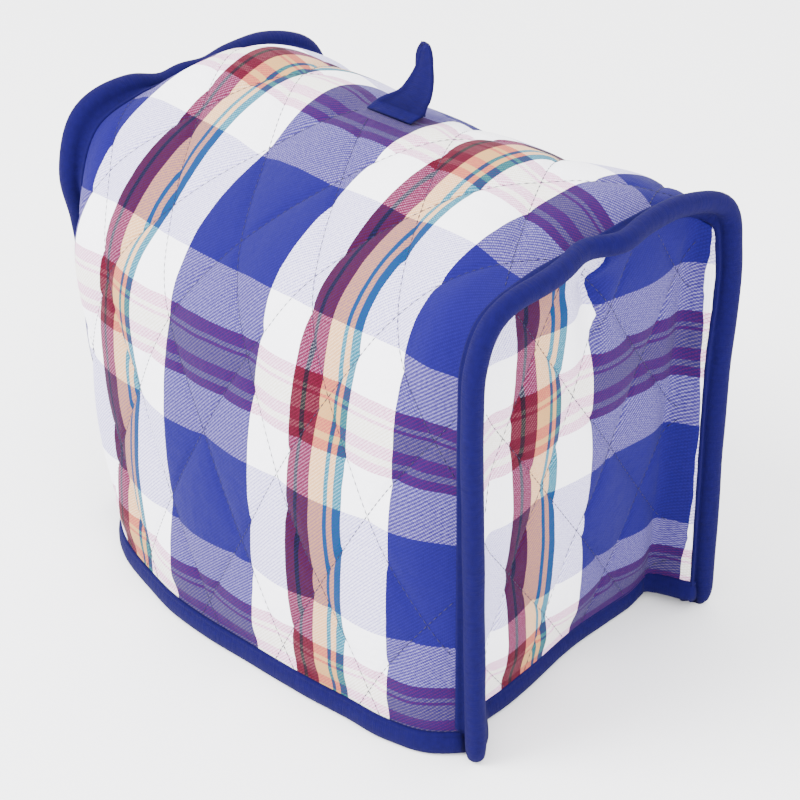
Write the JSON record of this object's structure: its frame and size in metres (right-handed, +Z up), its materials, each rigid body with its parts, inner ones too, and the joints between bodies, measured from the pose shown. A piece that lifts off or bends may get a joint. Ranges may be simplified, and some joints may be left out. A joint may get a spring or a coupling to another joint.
{
  "type": "toaster cover",
  "caption": "Quilted check cloth cover for a two-slice toaster: fitted wrap with end panels, plump bound seams, bound hem and a folded hanging loop.",
  "frame": {"origin": "middle of the outline on the surface the hem rests on", "axes": "+X along the cover towards the right end, +Y from the front panel to the back, +Z up"},
  "size_m": [0.2938, 0.218, 0.2679],
  "materials": {
    "check_cloth": "matt woven cotton, quilted",
    "blue_binding": "matt cotton twill"
  },
  "bodies": {
    "root": {"wrap_panel": "check_cloth", "end_panel_right": "check_cloth", "end_panel_left": "check_cloth", "seam_binding_right": "blue_binding", "seam_binding_left": "blue_binding", "hem_binding_front": "blue_binding", "hem_binding_back": "blue_binding", "hem_binding_right": "blue_binding", "hem_binding_left": "blue_binding", "hanging_loop": "blue_binding"}
  },
  "joints": []
}
